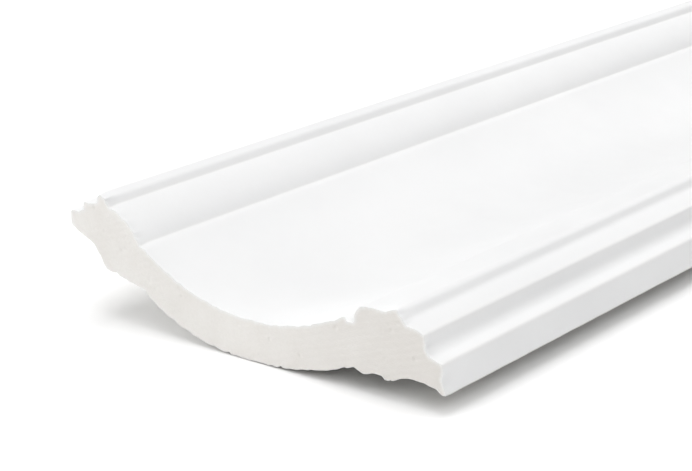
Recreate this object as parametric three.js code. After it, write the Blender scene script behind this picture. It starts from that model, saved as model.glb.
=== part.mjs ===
// A cut length of cornice moulding in white primed rigid foam, lying face up on its bellied back.
import * as THREE from "three";

// Driving sizes in millimetres. The moulding runs along X. Its section is drawn in two axes:
// "across" runs from the thin upper edge to the thick lower edge, "up" is the height above the ground.
const LENGTH = 360;
const FACE_WIDTH = 120;
const TREAD_TILT = 8;
const TREAD_SLOPE = Math.tan(THREE.MathUtils.degToRad(TREAD_TILT));
const ARC_SAG = 0.015;

// The cove and the wall of foam behind it.
const COVE_RADIUS = 60;
const COVE_MIDDLE = 61;
const COVE_UPPER_RUN = 35.3;
const COVE_LOWER_RUN = 29;
const WALL = 11;

// Members above the cove: two small steps from the upper edge, a leaning bead, a wide ovolo and a fillet.
// Tilts and turns are in degrees.
const EDGE_FOOT = 23.7;
const EDGE_HEIGHT = 4.4;
const EDGE_NOSE = 1.2;
const STEP_RUN = 4.8;
const STEP_RISE = 2.3;
const STEP_NOSE = 0.6;
const BEAD_RISE = 2.6;
const BEAD = { shoulder: 1.3, nose: 1.6, top: 1.6, tilt: -18 };
const BEAD_FLANK = 31;
const OVOLO = { radius: 15.4, head: 74.2, foot: 24.2 };
const FILLET_RUN = 1.4;
const FILLET_FALL = 0.45;

// Members below the cove: a quirk, a band with rounded sides, two steps hollowed by a cavetto, and a fascia
// that is upright at its top and flares to the toe. A step's arris lies back from the top of the fascia and
// rises above it, and its tread falls to the arris.
const QUIRK = { depth: 0.9, slope: 1, floor: 1.8 };
const BAND = { shoulder: 3.8, nose: 1.9, top: 8.8, tilt: TREAD_TILT };
const TREAD_FALL = 16;
const UPPER_CAVETTO = { back: 5.35, rise: 6.1, radius: 2.2, degrees: 64, tread: 5 };
const LOWER_CAVETTO = { back: 0, rise: 0, radius: 3.2, degrees: 78, tread: 2.6 };
const FASCIA_HEIGHT = 7.95;
const FASCIA_FLARE = 16;

// The back: glue lands behind both edges, and the belly with the narrow flat it lies on.
const LAND_HEIGHT = 5;
const LAND_RUN = 24.6;
const TOE_GROOVE = { start: 1, width: 15, depth: 1.8, batter: 4 };
const INNER_GROOVE = { start: 18.3, width: 4.8, depth: 0.7, batter: 1.5 };
const BELLY_LOWER = { middle: 62, radius: 81, run: 31 };
const BELLY_UPPER = { middle: 59.5, radius: 60, run: 30.5 };
const BELLY_FLATTENING = 0.2;
const UPPER_LAND_FOOT = { across: 25.4, up: 11.1 };
const UPPER_LAND_RUN = 13.2;
const UPPER_LAND_RISE = 3;
const HAUNCH_RUN = 4.1;
const HAUNCH_RISE = 5.9;

const foam = new THREE.MeshStandardMaterial({ color: 0xe9e8e4, roughness: 0.6, metalness: 0 });

const at = (across, up) => new THREE.Vector2(across, up);

// Points along an arc. Angles are in degrees, 0 towards the lower edge and 90 straight up.
function arc(centre, radius, from, to) {
  const start = THREE.MathUtils.degToRad(from);
  const end = THREE.MathUtils.degToRad(to);
  const curve = new THREE.EllipseCurve(centre.x, centre.y, radius, radius, start, end, to < from);
  const stride = 2 * Math.acos(1 - ARC_SAG / radius);
  return curve.getPoints(Math.max(2, Math.ceil(Math.abs(end - start) / stride)));
}

// Height of the cove's face at a distance from its lowest line.
function coveUp(run) {
  return WALL + COVE_RADIUS - Math.sqrt(COVE_RADIUS ** 2 - run ** 2);
}

// A band with rounded edges and a flat top that climbs by its tilt. It starts straight up at the shoulder
// and ends on the nose, where the nose faces the exit angle.
function roundedBand(centre, { shoulder, nose, top, tilt }, exit) {
  const climb = THREE.MathUtils.degToRad(tilt);
  const noseCentre = at(top, shoulder - nose).rotateAround(at(0, 0), climb).add(centre);
  return [...arc(centre, shoulder, 180, 90 + tilt), ...arc(noseCentre, nose, 90 + tilt, exit)];
}

// From the upper edge to the fillet at the top of the cove.
function upperMembers() {
  const points = [at(0, EDGE_FOOT)];
  let up = EDGE_FOOT + EDGE_HEIGHT;
  for (const [index, nose] of [EDGE_NOSE, STEP_NOSE].entries()) {
    const across = index * STEP_RUN;
    points.push(...arc(at(across + nose, up - nose * (1 - TREAD_SLOPE)), nose, 180, 90 + TREAD_TILT));
    up += STEP_RUN * TREAD_SLOPE;
    points.push(at(across + STEP_RUN, up));
    up += STEP_RISE;
  }
  const treadUp = up - STEP_RISE;
  const bead = at(2 * STEP_RUN + BEAD.shoulder, treadUp + BEAD_RISE - BEAD.shoulder);
  points.push(...roundedBand(bead, BEAD, BEAD_FLANK));

  const coveTop = at(COVE_MIDDLE - COVE_UPPER_RUN, coveUp(COVE_UPPER_RUN));
  const ovoloFoot = at(coveTop.x - FILLET_RUN, coveTop.y + FILLET_FALL);
  const spoke = at(OVOLO.radius, 0).rotateAround(at(0, 0), THREE.MathUtils.degToRad(OVOLO.foot));
  points.push(...arc(ovoloFoot.sub(spoke), OVOLO.radius, OVOLO.head, OVOLO.foot));
  return points;
}

function cove() {
  const upper = THREE.MathUtils.radToDeg(Math.asin(COVE_UPPER_RUN / COVE_RADIUS));
  const lower = THREE.MathUtils.radToDeg(Math.asin(COVE_LOWER_RUN / COVE_RADIUS));
  return arc(at(COVE_MIDDLE, WALL + COVE_RADIUS), COVE_RADIUS, 270 - upper, 270 + lower);
}

// From the foot of the cove to the toe, where the fascia meets the back.
function lowerMembers() {
  const coveFoot = at(COVE_MIDDLE + COVE_LOWER_RUN, coveUp(COVE_LOWER_RUN));
  const quirk = at(coveFoot.x + QUIRK.slope, coveFoot.y - QUIRK.depth);
  const points = [quirk, at(quirk.x + QUIRK.floor, quirk.y)];
  const band = at(quirk.x + QUIRK.floor + BAND.shoulder, coveFoot.y);
  points.push(...roundedBand(band, BAND, 90 - UPPER_CAVETTO.degrees));

  const flare = THREE.MathUtils.degToRad(FASCIA_FLARE);
  const fasciaRadius = FASCIA_HEIGHT / Math.sin(flare);
  const fasciaTop = at(FACE_WIDTH - fasciaRadius * (1 - Math.cos(flare)), LAND_HEIGHT + FASCIA_HEIGHT);
  const fall = THREE.MathUtils.degToRad(TREAD_FALL);
  for (const { back, rise, radius, degrees, tread } of [UPPER_CAVETTO, LOWER_CAVETTO]) {
    const arris = at(fasciaTop.x - back, fasciaTop.y + rise);
    const spoke = at(0, radius).rotateAround(at(0, 0), -fall);
    const centre = at(arris.x - tread, arris.y + tread * Math.tan(fall)).add(spoke);
    points.push(...arc(centre, radius, 270 - degrees, 270 - TREAD_FALL), arris);
  }
  const fasciaCentre = at(fasciaTop.x + fasciaRadius, fasciaTop.y);
  points.push(...arc(fasciaCentre, fasciaRadius, 180, 180 + FASCIA_FLARE).slice(1));
  return points;
}

// A shallow groove with sloping sides, cut up into the lower land; its start is measured from the toe.
function groove({ start, width, depth, batter }) {
  const from = FACE_WIDTH - start;
  return [
    at(from, LAND_HEIGHT),
    at(from - batter, LAND_HEIGHT + depth),
    at(from - width + batter, LAND_HEIGHT + depth),
    at(from - width, LAND_HEIGHT),
  ];
}

// One side of the belly, from its outer end in to the flat that it lies on.
function bellySide({ middle, radius, run }, side) {
  const outer = THREE.MathUtils.radToDeg(Math.asin(run / radius));
  const inner = THREE.MathUtils.radToDeg(Math.acos(1 - BELLY_FLATTENING / radius));
  return arc(at(middle, radius - BELLY_FLATTENING), radius, 270 + side * outer, 270 + side * inner);
}

// From the toe round the underside and back to the foot of the upper edge.
function back() {
  const landFoot = at(UPPER_LAND_FOOT.across, UPPER_LAND_FOOT.up);
  const landHead = at(landFoot.x - UPPER_LAND_RUN, landFoot.y + UPPER_LAND_RISE);
  return [
    ...groove(TOE_GROOVE),
    ...groove(INNER_GROOVE),
    at(FACE_WIDTH - LAND_RUN, LAND_HEIGHT),
    ...bellySide(BELLY_LOWER, 1),
    ...bellySide(BELLY_UPPER, -1).reverse(),
    landFoot,
    landHead,
    at(landHead.x - HAUNCH_RUN, landHead.y + HAUNCH_RISE),
  ];
}

function corniceMoulding() {
  const outline = [...upperMembers(), ...cove(), ...lowerMembers(), ...back()];
  const section = new THREE.Shape(outline.map((point) => at(FACE_WIDTH / 2 - point.x, point.y)));
  const geometry = new THREE.ExtrudeGeometry(section, { depth: LENGTH, bevelEnabled: false });
  const mesh = new THREE.Mesh(geometry, foam);
  mesh.name = "cornice_moulding";
  mesh.rotation.set(Math.PI / 2, Math.PI / 2, 0);
  mesh.position.x = -LENGTH / 2;
  return mesh;
}

const part = new THREE.Group();
part.name = "cornice";
part.add(corniceMoulding());

export default part;
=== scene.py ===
"""A cut length of white primed foam cornice, lying on its bellied back on a pale studio floor."""

import math
import random

import bpy
import numpy as np
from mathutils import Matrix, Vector, geometry, kdtree, noise


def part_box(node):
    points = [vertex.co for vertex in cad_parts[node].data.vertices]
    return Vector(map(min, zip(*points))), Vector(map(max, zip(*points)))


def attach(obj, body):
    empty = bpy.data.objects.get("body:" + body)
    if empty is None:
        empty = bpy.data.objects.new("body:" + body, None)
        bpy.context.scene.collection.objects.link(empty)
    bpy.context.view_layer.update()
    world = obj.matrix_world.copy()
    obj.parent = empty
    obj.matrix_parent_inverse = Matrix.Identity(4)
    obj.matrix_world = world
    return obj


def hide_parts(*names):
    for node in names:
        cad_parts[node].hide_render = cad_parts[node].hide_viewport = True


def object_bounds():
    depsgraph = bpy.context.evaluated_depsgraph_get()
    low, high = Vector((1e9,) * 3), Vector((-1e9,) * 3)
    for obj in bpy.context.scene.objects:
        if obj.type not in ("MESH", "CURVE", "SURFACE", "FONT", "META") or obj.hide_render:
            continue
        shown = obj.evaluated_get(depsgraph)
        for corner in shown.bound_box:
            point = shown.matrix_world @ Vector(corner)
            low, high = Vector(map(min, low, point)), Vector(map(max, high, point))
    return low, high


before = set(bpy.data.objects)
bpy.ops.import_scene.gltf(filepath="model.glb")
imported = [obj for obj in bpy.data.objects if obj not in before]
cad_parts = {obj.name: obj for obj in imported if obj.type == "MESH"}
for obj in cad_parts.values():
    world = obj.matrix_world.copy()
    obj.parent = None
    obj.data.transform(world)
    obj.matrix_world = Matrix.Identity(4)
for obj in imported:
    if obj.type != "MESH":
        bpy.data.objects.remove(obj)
cad_low, cad_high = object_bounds()

# Sizes in metres, unless the name says otherwise.
MM = 0.001
NODE = "cornice_moulding"
SURFACES = ["face", "back", "cut"]
SEED = 7

# How the section's outline is read from the near cap, eased at its arrises and divided.
CAP_DEPTH = 0.01 * MM
DECIMALS = 6
ARRIS_TURN = math.radians(30)
STRAIGHT_TURN = math.radians(1)
ARRIS_RADIUS = {"face": 0.9 * MM, "back": 0.45 * MM}
ARRIS_ROOM = 0.45
ARRIS_STEPS = 5
CURVE_CUT = 0.3
LONGEST_EDGE = 1.3 * MM

# Stations along the length: close together at the ragged ends, then evenly spread.
END_STATIONS = [0, 0.25 * MM, 0.6 * MM, 1.1 * MM, 1.8 * MM, 2.8 * MM, 4.5 * MM, 7 * MM]
STATION_GAP = 6 * MM

# Smooth noise. Each pattern is read in a layer of its own, so that no two are alike.
OCTAVES = 3
OCTAVE_STEP = 2.0
OCTAVE_FALLOFF = 1.0
NOISE_REACH = 1.2
BACK_LAYER = 3
RIM_LAYER = 9
SAW_LAYER = 20
TEAR_LAYER = 30
CELL_LAYER = 40

# Unevenness of the surfaces. All of it is cut into the solid, so the box stays as it is.
FACE_WAVE = 0.05 * MM
FACE_WAVE_LENGTH = 55 * MM
BACK_LUMP = 0.3 * MM
BACK_LUMP_LENGTH = 5 * MM
BACK_LUMP_ONSET = 0.35
RIM_WEAR = 0.04 * MM
RIM_CHIP = {"face": 2.0 * MM, "back": 2.4 * MM}
RIM_LENGTH = {"face": 3 * MM, "back": 2.4 * MM}
RIM_REACH = 1.6 * MM
RIM_BLUNTING = 1.5 * MM
CHIP_ONSET = {"face": 0.3, "back": 0.4}
CHIP_BITE = 1.5

# Worn places on the rims of the ends: place across the width from the upper edge, half width and depth.
WORN = {
    "face": [(13 * MM, 4.5 * MM, 0.5 * MM), (102 * MM, 3.5 * MM, 0.6 * MM)],
    "back": [(62 * MM, 30 * MM, 0.15 * MM)],
}

# The sawn ends: a fine grid of points, scored by the saw, torn, and pitted with open cells.
CUT_GRID = 0.36 * MM
CUT_MARGIN = 0.21 * MM
MERGE_GAP = 1e-9
INSIDE_ONLY = 1
SAW_DEPTH = 0.06 * MM
SAW_PITCH = 1.9 * MM
SAW_LEAN = 0.35
SAW_WANDER = 0.6 * MM
SAW_WANDER_LENGTH = 12 * MM
SAW_FADE_LENGTH = 9 * MM
TEAR_DEPTH = 0.12 * MM
TEAR_LENGTH = 2.6 * MM
TEAR_ONSET = 0.4
CELL_DEPTH = 0.05 * MM
CELL_LENGTH = 0.7 * MM
PIT_COUNT = 40
PIT_RADIUS = (0.35 * MM, 1.0 * MM)
PIT_RARITY = 3
PIT_STEEPNESS = 0.22
# Pit depth at which the painted shade in the pits is at its darkest.
PIT_SHADE_DEPTH = 0.5 * MM
SKIN_DEPTH = 1.0 * MM
SKIN_PIT_LOSS = 0.8

# Colours: linear red, green, blue and alpha. Shader noise mostly keeps within the noise span.
NOISE_SPAN = (0.3, 0.7)
PRIMER = [(0.784, 0.786, 0.789, 1), (0.817, 0.818, 0.819, 1)]
PRIMER_FLECK = (0.770, 0.770, 0.766, 1)
PRIMER_ARRIS = (0.798, 0.793, 0.780, 1)
CUT = [(0.785, 0.762, 0.729, 1), (0.835, 0.818, 0.791, 1)]
# Painted shade on the cut end: darker towards the toe, where less light falls.
CUT_PAINTED_SHADE = (0.726, 0.697, 0.661, 1)
CUT_GRAIN = (0.717, 0.699, 0.663, 1)
# Colour of the foam's pores, also used as painted shade that deepens with the depth of the pits.
CUT_PORE_AND_PIT_SHADE = (0.663, 0.646, 0.605, 1)
CUT_SKIN = (0.835, 0.832, 0.822, 1)
BACK = [(0.67, 0.66, 0.63, 1), (0.73, 0.725, 0.705, 1)]
BACK_BUBBLE = (0.56, 0.547, 0.515, 1)
FLOOR = [(0.965, 0.965, 0.965, 1), (0.98, 0.98, 0.98, 1)]
FLOOR_HALF = 6.0

# Soft lights aimed at the origin, each with its place, the side of its square and its power in watts.
SOFTBOXES = {
    "overhead": ((0, 0.15, 1.25), 1.0, 12),
    "low_behind": ((-0.6, 1.2, 0.4), 0.8, 13.2),
    "near_corner": ((-0.75, -0.75, 0.95), 0.9, 7.5),
    "far_end": ((1.3, 0, 0.8), 1.2, 6),
    "toe_side": ((0.9, -0.9, 0.8), 0.9, 4.5),
}
SURROUND_STRENGTH = 0.02

# Camera, measured from the near lower corner of the moulding.
CAMERA_OFFSET = Vector((-0.36584, -0.2517, 0.18714))
CAMERA_HEADING = math.radians(37.52)
CAMERA_PITCH = math.radians(17.85)
CAMERA_CLIP = 10 * MM
LENS_MM = 107.7
SENSOR_MM = 36


def near_outline(mesh):
    """The cut end's outline as (y, z) points in order, read from the node's near cap."""
    near = min(v.co.x for v in mesh.vertices)
    spot = {}
    for v in mesh.vertices:
        if v.co.x - near < CAP_DEPTH:
            spot[v.index] = (round(v.co.y, DECIMALS), round(v.co.z, DECIMALS))
    sides = set()
    for face in mesh.polygons:
        if all(i in spot for i in face.vertices):
            ring = [spot[i] for i in face.vertices]
            sides.update(zip(ring, ring[1:] + ring[:1]))
    follow = {a: b for a, b in sides if (b, a) not in sides}
    loop = [max(follow, key=lambda p: (p[0], -p[1]))]
    while follow[loop[-1]] != loop[0]:
        loop.append(follow[loop[-1]])
    if loop[1][1] < loop[0][1]:
        loop = loop[:1] + loop[:0:-1]
    return [Vector(p) for p in loop]


def label_sides(loop):
    """Pairs each point with the side it starts: the face runs from the upper edge's foot to the toe."""
    toe = min(range(len(loop)), key=lambda i: loop[i].x)
    return [(point, "face" if i < toe else "back") for i, point in enumerate(loop)]


def soften(marked):
    """Rounds each arris by a small radius and cuts the corners of the curves once. Adds an arris weight."""
    out = []
    count = len(marked)
    for i, (point, side) in enumerate(marked):
        before = point - marked[i - 1][0]
        after = marked[(i + 1) % count][0] - point
        turn = abs(before.angle_signed(after))
        room = min(before.length, after.length)
        sharp = turn > ARRIS_TURN
        if sharp:
            reach = min(ARRIS_RADIUS[side] * math.tan(turn / 2), ARRIS_ROOM * room)
        else:
            reach = CURVE_CUT * room if turn > STRAIGHT_TURN else 0
        if not reach:
            out.append((point, side, 0.0))
            continue
        first = point - before.normalized() * reach
        last = point + after.normalized() * reach
        steps = ARRIS_STEPS if sharp else 1
        for k in range(steps + 1):
            t = k / steps
            mix = first * (1 - t) ** 2 + point * (2 * t * (1 - t)) + last * t**2
            out.append((mix, side, 1.0 if sharp else 0.0))
    return out


def divide(marked):
    """Splits the outline's long edges, so that the skin can follow its own unevenness."""
    out = []
    for i, (point, side, arris) in enumerate(marked):
        following = marked[(i + 1) % len(marked)]
        step = following[0] - point
        pieces = max(1, math.ceil(step.length / LONGEST_EDGE))
        out.append((point, side, arris))
        for k in range(1, pieces):
            out.append((point + step * (k / pieces), side, 0.0))
    return out


def outward(section):
    """Unit normals of the outline, pointing out of the foam."""
    normals = []
    for i in range(len(section)):
        along = section[(i + 1) % len(section)][0] - section[i - 1][0]
        normals.append(Vector((along.y, -along.x)).normalized())
    middle = sum((m[0] for m in section), Vector((0, 0))) / len(section)
    top = max(range(len(section)), key=lambda i: section[i][0].y)
    if normals[top].dot(section[top][0] - middle) < 0:
        normals = [-n for n in normals]
    return normals


def blunted(normals, along, steps):
    """Normals averaged over a short stretch of the outline: the direction in which a worn rim gives way."""
    share = (steps + np.roll(steps, 1)) / 2
    out = []
    for here in along:
        gap = np.abs(along - here)
        gap = np.minimum(gap, steps.sum() - gap)
        weight = share * np.maximum(0, 1 - gap / RIM_BLUNTING)
        out.append(Vector(weight @ np.array(normals)).normalized())
    return out


def wobble(place, length):
    """Smooth noise from 0 to 1 at a place, with features of about the length given."""
    height = noise.fractal(Vector(place) / length, OCTAVE_FALLOFF, OCTAVE_STEP, OCTAVES)
    return 0.5 + 0.5 * height / NOISE_REACH


def skin_depth(x, point, side, along):
    """How far the skin lies inside the true outline."""
    if side == "face":
        return FACE_WAVE * wobble((x, point.x, point.y), FACE_WAVE_LENGTH)
    return BACK_LUMP * max(0, wobble((x, along, BACK_LAYER), BACK_LUMP_LENGTH) - BACK_LUMP_ONSET)


def rim_depth(end, point, side, along, end_gap):
    """How far the skin is worn back and chipped beside a cut end."""
    uneven = wobble((along, RIM_LAYER * end, 0), RIM_LENGTH[side])
    chip = max(0, uneven - CHIP_ONSET[side]) ** CHIP_BITE
    rim = RIM_WEAR + RIM_CHIP[side] * chip
    for place, half, worn in WORN[side]:
        rim += worn * max(0, 1 - ((cad_high.y - point.x - place) / half) ** 2)
    return rim * math.exp(-((end_gap / RIM_REACH) ** 2))


def cut_depth(place, end):
    """How far the sawn surface lies inside the true end plane, without the pits."""
    y, z = place
    lean = z + SAW_LEAN * y + SAW_WANDER * wobble((y, z, end), SAW_WANDER_LENGTH)
    saw = SAW_DEPTH * (0.5 + 0.5 * math.sin(2 * math.pi * lean / SAW_PITCH))
    saw *= wobble((y, z, SAW_LAYER + end), SAW_FADE_LENGTH)
    tear = TEAR_DEPTH * max(0, wobble((y, z, TEAR_LAYER + end), TEAR_LENGTH) - TEAR_ONSET)
    cell = CELL_DEPTH * wobble((y, z, CELL_LAYER + end), CELL_LENGTH)
    return saw + tear + cell


def stations(length):
    """Distances from the near end at which the outline is repeated."""
    inner = length - 2 * END_STATIONS[-1]
    count = round(inner / STATION_GAP)
    middle = [END_STATIONS[-1] + inner * k / count for k in range(1, count)]
    return END_STATIONS + middle + [length - s for s in reversed(END_STATIONS)]


def inside(places, loop):
    """True for each of the places that lies inside the closed loop."""
    found = np.zeros(len(places), bool)
    for a, b in zip(loop, np.roll(loop, -1, axis=0)):
        crosses = (a[1] > places[:, 1]) != (b[1] > places[:, 1])
        if a[1] != b[1]:
            reach = a[0] + (places[:, 1] - a[1]) * (b[0] - a[0]) / (b[1] - a[1])
            found ^= crosses & (places[:, 0] < reach)
    return found


def search_tree(places):
    """A tree that finds the nearest of the places, which lie in the section's plane."""
    tree = kdtree.KDTree(len(places))
    for i, place in enumerate(places):
        tree.insert((*place, 0), i)
    tree.balance()
    return tree


def grid_inside(loop):
    """Points of a staggered grid that lie inside the loop and clear of it."""
    low, high = loop.min(0), loop.max(0)
    row_gap = CUT_GRID * math.sqrt(3) / 2
    places = []
    for row in range(int((high[1] - low[1]) / row_gap) + 1):
        shift = CUT_GRID / 2 * (row % 2)
        for column in range(int((high[0] - low[0]) / CUT_GRID) + 1):
            places.append((low[0] + shift + column * CUT_GRID, low[1] + row * row_gap))
    places = np.array(places)
    places = places[inside(places, loop)]
    rim = search_tree(loop)
    return [Vector(p) for p in places if rim.find((*p, 0))[2] > CUT_MARGIN]


def pits(places, seed):
    """Depth of the open cells at each place: shallow bowls scattered over the cut, most of them small."""
    draw = random.Random(seed)
    tree = search_tree(places)
    smallest, largest = PIT_RADIUS
    depth = np.zeros(len(places))
    for _ in range(PIT_COUNT):
        centre = places[draw.randrange(len(places))]
        radius = smallest + (largest - smallest) * draw.random() ** PIT_RARITY
        for _, i, gap in tree.find_range((*centre, 0), radius):
            depth[i] = max(depth[i], PIT_STEEPNESS * radius * (1 - (gap / radius) ** 2))
    return depth


class Draft:
    """A mesh in the making: points with their weights, and faces with the surface that each belongs to."""

    def __init__(self):
        self.points = []
        self.weights = {"arris": [], "pit": [], "skin": []}
        self.faces = []
        self.slots = []

    def add_point(self, place, **weights):
        self.points.append(place)
        for name, values in self.weights.items():
            values.append(weights.get(name, 0.0))

    def add_face(self, corners, surface):
        self.faces.append(tuple(corners))
        self.slots.append(SURFACES.index(surface))

    def mesh(self, name):
        mesh = bpy.data.meshes.new(name)
        mesh.from_pydata(self.points, [], self.faces)
        mesh.polygons.foreach_set("material_index", self.slots)
        for weight, values in self.weights.items():
            mesh.attributes.new(weight, "FLOAT", "POINT").data.foreach_set("value", values)
        mesh.validate()
        mesh.update()
        mesh.shade_smooth()
        return mesh


def add_skin(draft, section, near, gaps):
    """The skin: the outline repeated at each station, worn back beside the cut ends."""
    count = len(section)
    normals = outward(section)
    steps = np.array([(section[(i + 1) % count][0] - section[i][0]).length for i in range(count)])
    along = np.cumsum(steps) - steps
    blunt = blunted(normals, along, steps)
    for gap in gaps:
        x = near + gap
        end = math.copysign(1, x)
        end_gap = min(gap, gaps[-1] - gap)
        for i, (point, side, arris) in enumerate(section):
            inset = normals[i] * skin_depth(x, point, side, along[i])
            y, z = point - inset - blunt[i] * rim_depth(end, point, side, along[i], end_gap)
            sawn = cut_depth((y, z), end) if end_gap == 0 else 0
            draft.add_point((x - end * sawn, y, max(z, 0)), arris=arris, skin=1.0)
    for row in range(len(gaps) - 1):
        a, b = row * count, (row + 1) * count
        for i in range(count):
            j = (i + 1) % count
            draft.add_face((a + i, a + j, b + j, b + i), section[i][1])


def add_cut(draft, section, first, plane, end):
    """A sawn end: a fine grid of points, joined to the rim, whose points begin at the first index."""
    count = len(section)
    loop = np.array([place[1:] for place in draft.points[first:first + count]])
    inner = grid_inside(loop)
    face_rim = search_tree([place for place, (_, side, _) in zip(loop, section) if side == "face"])
    inner_first = len(draft.points)
    for place, depth in zip(inner, pits(inner, SEED + end)):
        skin = max(0.0, 1 - face_rim.find((*place, 0))[2] / SKIN_DEPTH)
        depth *= 1 - SKIN_PIT_LOSS * skin
        x = plane - end * (cut_depth(place, end) + depth)
        # The pit weight is painted shade: it grows with the pit's depth.
        draft.add_point((x, *place), pit=min(1.0, depth / PIT_SHADE_DEPTH), skin=skin)

    rim_edges = [(i, (i + 1) % count) for i in range(count)]
    flat = [Vector(p) for p in loop] + inner
    made = geometry.delaunay_2d_cdt(flat, rim_edges, [], INSIDE_ONLY, MERGE_GAP)
    triangles, sources = made[2], made[3]
    to_point = [first + s[0] if s[0] < count else inner_first + s[0] - count for s in sources]
    for triangle in triangles:
        ring = [to_point[i] for i in triangle]
        draft.add_face(ring if end > 0 else reversed(ring), "cut")


def sharpen_rims(mesh, firsts, count):
    """Marks the edges along the rims as sharp. Each rim has the given count of points from its first."""
    for edge in mesh.edges:
        a, b = sorted(edge.vertices)
        for first in firsts:
            if first <= a and b < first + count and b - a in (1, count - 1):
                edge.use_edge_sharp = True


def build_moulding(node):
    """The dressed moulding: skin and two sawn ends in one closed mesh."""
    section = divide(soften(label_sides(near_outline(node.data))))
    count = len(section)
    low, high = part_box(NODE)
    gaps = stations(high.x - low.x)
    near_rim, far_rim = 0, (len(gaps) - 1) * count
    draft = Draft()
    add_skin(draft, section, low.x, gaps)
    add_cut(draft, section, near_rim, low.x, -1)
    add_cut(draft, section, far_rim, high.x, 1)
    mesh = draft.mesh("cornice")
    sharpen_rims(mesh, (near_rim, far_rim), count)
    piece = bpy.data.objects.new("cornice_dressed", mesh)
    bpy.context.scene.collection.objects.link(piece)
    return piece


class Nodes:
    """Small helper that adds and links shader nodes of one material."""

    def __init__(self, name):
        self.material = bpy.data.materials.new(name)
        self.material.use_nodes = True
        self.tree = self.material.node_tree
        self.shader = self.tree.nodes["Principled BSDF"]
        self.place = self.add("ShaderNodeTexCoord").outputs["Object"]

    def add(self, kind, **settings):
        node = self.tree.nodes.new(kind)
        for key, value in settings.items():
            if hasattr(node, key):
                setattr(node, key, value)
            else:
                self.feed(node.inputs[key.replace("_", " ").title()], value)
        return node

    def feed(self, socket, value):
        if isinstance(value, bpy.types.NodeSocket):
            self.tree.links.new(value, socket)
        else:
            socket.default_value = value

    def noise(self, size, detail=3.0, rough=0.55, warp=0.0):
        settings = {"detail": detail, "roughness": rough, "distortion": warp}
        node = self.add("ShaderNodeTexNoise", scale=1 / size, **settings)
        self.feed(node.inputs["Vector"], self.place)
        return node.outputs["Fac"]

    def cells(self, size):
        node = self.add("ShaderNodeTexVoronoi", scale=1 / size)
        self.feed(node.inputs["Vector"], self.place)
        return node.outputs["Distance"]

    def across(self):
        node = self.add("ShaderNodeSeparateXYZ")
        self.feed(node.inputs["Vector"], self.place)
        return node.outputs["Y"]

    def span(self, value, low, high, to_low=0.0, to_high=1.0):
        node = self.add("ShaderNodeMapRange", from_min=low, from_max=high, to_min=to_low, to_max=to_high)
        self.feed(node.inputs["Value"], value)
        return node.outputs["Result"]

    def combine(self, operation, first, second):
        node = self.add("ShaderNodeMath", operation=operation)
        self.feed(node.inputs[0], first)
        self.feed(node.inputs[1], second)
        return node.outputs[0]

    def mix(self, share, first, second):
        """Blends two colours. Sockets 6, 7 and 2 are the colour ones; others have the same names."""
        node = self.add("ShaderNodeMix", data_type="RGBA")
        self.feed(node.inputs["Factor"], share)
        self.feed(node.inputs[6], first)
        self.feed(node.inputs[7], second)
        return node.outputs[2]

    def attribute(self, name):
        return self.add("ShaderNodeAttribute", attribute_name=name).outputs["Fac"]

    def bump(self, height, distance, strength, under=None):
        node = self.add("ShaderNodeBump", distance=distance, strength=strength)
        self.feed(node.inputs["Height"], height)
        if under is not None:
            self.feed(node.inputs["Normal"], under)
        return node.outputs["Normal"]

    def finish(self, colour, roughness, normal):
        self.feed(self.shader.inputs["Base Color"], colour)
        self.feed(self.shader.inputs["Roughness"], roughness)
        self.feed(self.shader.inputs["Normal"], normal)
        return self.material


def primer():
    """Sprayed white primer: an even satin film with faint cloudiness and a fine orange peel."""
    n = Nodes("white_primer")
    cloud = n.span(n.noise(45 * MM, detail=4), *NOISE_SPAN)
    colour = n.mix(cloud, *PRIMER)
    fleck = n.span(n.noise(1.6 * MM, detail=2), 0.62, 0.8, to_high=0.25)
    colour = n.mix(fleck, colour, PRIMER_FLECK)
    colour = n.mix(n.combine("MULTIPLY", n.attribute("arris"), 0.35), colour, PRIMER_ARRIS)
    roughness = n.span(n.noise(8 * MM), *NOISE_SPAN, to_low=0.42, to_high=0.54)
    peel = n.bump(n.noise(1.1 * MM, detail=2), distance=0.03 * MM, strength=0.5)
    sag = n.bump(n.noise(12 * MM, detail=2), distance=0.2 * MM, strength=0.25, under=peel)
    return n.finish(colour, roughness, sag)


def cut_foam():
    """Sawn rigid foam: warm white and granular, with painted shade darkening it towards the toe, and whiter
    in the dense skin.
    """
    n = Nodes("cut_foam")
    patch = n.span(n.noise(9 * MM, detail=4), *NOISE_SPAN)
    colour = n.mix(patch, *CUT)
    # Painted shade: the cut end grows darker towards the toe side.
    painted_toe_shade = n.span(n.across(), 0, -50 * MM, to_high=0.7)
    colour = n.mix(painted_toe_shade, colour, CUT_PAINTED_SHADE)
    grain = n.span(n.noise(0.8 * MM, rough=0.7), 0.35, 0.75)
    colour = n.mix(n.combine("MULTIPLY", grain, 0.3), colour, CUT_GRAIN)
    pore = n.span(n.cells(1.3 * MM), 0.08, 0.2, to_low=0.12, to_high=0)
    colour = n.mix(pore, colour, CUT_PORE_AND_PIT_SHADE)
    # Painted shade in the pits, darker where they are deeper.
    colour = n.mix(n.combine("MULTIPLY", n.attribute("pit"), 0.1), colour, CUT_PORE_AND_PIT_SHADE)
    colour = n.mix(n.attribute("skin"), colour, CUT_SKIN)
    cells = n.bump(n.cells(0.45 * MM), distance=0.08 * MM, strength=0.5)
    grit = n.bump(n.noise(0.9 * MM, detail=4, rough=0.7), distance=0.1 * MM, strength=0.5, under=cells)
    return n.finish(colour, roughness=0.92, normal=grit)


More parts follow.
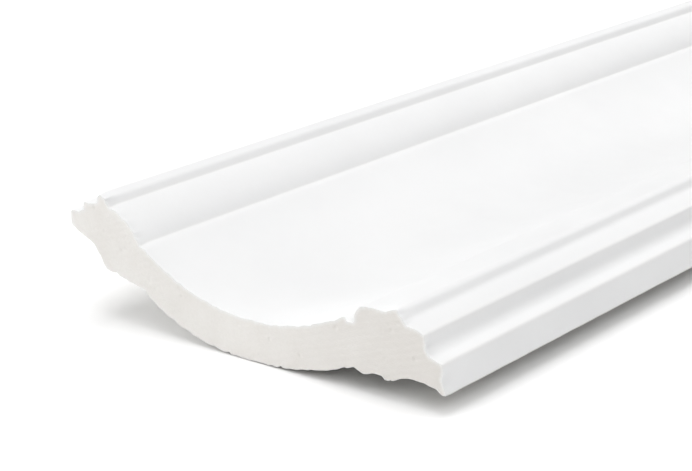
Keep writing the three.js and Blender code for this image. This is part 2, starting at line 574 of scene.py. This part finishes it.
def back_foam():
    """The unpainted back: a dull moulded foam skin with flow marks and burst bubbles."""
    n = Nodes("back_foam")
    flow = n.span(n.noise(18 * MM, detail=5, rough=0.6, warp=1.5), *NOISE_SPAN)
    colour = n.mix(flow, *BACK)
    bubbles = n.span(n.cells(2.4 * MM), 0.0, 0.22, to_low=1.0, to_high=0.0)
    colour = n.mix(n.combine("MULTIPLY", bubbles, 0.5), colour, BACK_BUBBLE)
    roughness = n.span(n.noise(5 * MM), *NOISE_SPAN, to_low=0.68, to_high=0.85)
    relief = n.combine("SUBTRACT", n.noise(1.4 * MM, detail=4, rough=0.65), bubbles)
    return n.finish(colour, roughness, n.bump(relief, distance=0.2 * MM, strength=0.5))


def studio_floor():
    """A wide pale floor, a shade off white."""
    n = Nodes("studio_floor")
    colour = n.mix(n.noise(0.4), *FLOOR)
    grain = n.bump(n.noise(2 * MM, detail=2), distance=0.02 * MM, strength=0.1)
    n.finish(colour, roughness=0.8, normal=grain)
    mesh = bpy.data.meshes.new("floor")
    corners = [(x * FLOOR_HALF, y * FLOOR_HALF, 0) for x, y in ((-1, -1), (1, -1), (1, 1), (-1, 1))]
    mesh.from_pydata(corners, [], [(0, 1, 2, 3)])
    mesh.materials.append(n.material)
    floor = bpy.data.objects.new("floor", mesh)
    bpy.context.scene.collection.objects.link(floor)


def softbox(name, place, size, watts):
    """A square soft light that looks from its place at the origin."""
    data = bpy.data.lights.new(name, "AREA")
    data.shape = "SQUARE"
    data.size = size
    data.energy = watts
    light = bpy.data.objects.new(name, data)
    light.location = place
    light.rotation_mode = "QUATERNION"
    light.rotation_quaternion = (-Vector(place)).to_track_quat("-Z", "Y")
    bpy.context.scene.collection.objects.link(light)


def light_studio():
    """Soft lights: the main one overhead, a low one behind the upper edge, three fills, a dim surround."""
    for name, (place, size, watts) in SOFTBOXES.items():
        softbox(name, place, size, watts)
    world = bpy.data.worlds.new("surround")
    world.use_nodes = True
    back = world.node_tree.nodes["Background"]
    back.inputs["Color"].default_value = (1, 1, 1, 1)
    back.inputs["Strength"].default_value = SURROUND_STRENGTH
    bpy.context.scene.world = world
    bpy.context.scene.view_settings.view_transform = "Standard"


def place_camera():
    """The photograph's view: near cut end at the left, the length running off to the right."""
    data = bpy.data.cameras.new("camera")
    data.lens = LENS_MM
    data.sensor_width = SENSOR_MM
    data.clip_start = CAMERA_CLIP
    camera = bpy.data.objects.new("camera", data)
    camera.location = Vector((cad_low.x, cad_low.y, 0)) + CAMERA_OFFSET
    aim = Vector((math.cos(CAMERA_HEADING), math.sin(CAMERA_HEADING), -math.tan(CAMERA_PITCH)))
    camera.rotation_mode = "QUATERNION"
    camera.rotation_quaternion = aim.to_track_quat("-Z", "Y")
    bpy.context.scene.collection.objects.link(camera)
    bpy.context.scene.camera = camera


moulding = build_moulding(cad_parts[NODE])
materials = {"face": primer(), "back": back_foam(), "cut": cut_foam()}
for surface in SURFACES:
    moulding.data.materials.append(materials[surface])
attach(moulding, "root")
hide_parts(NODE)
studio_floor()
light_studio()
place_camera()
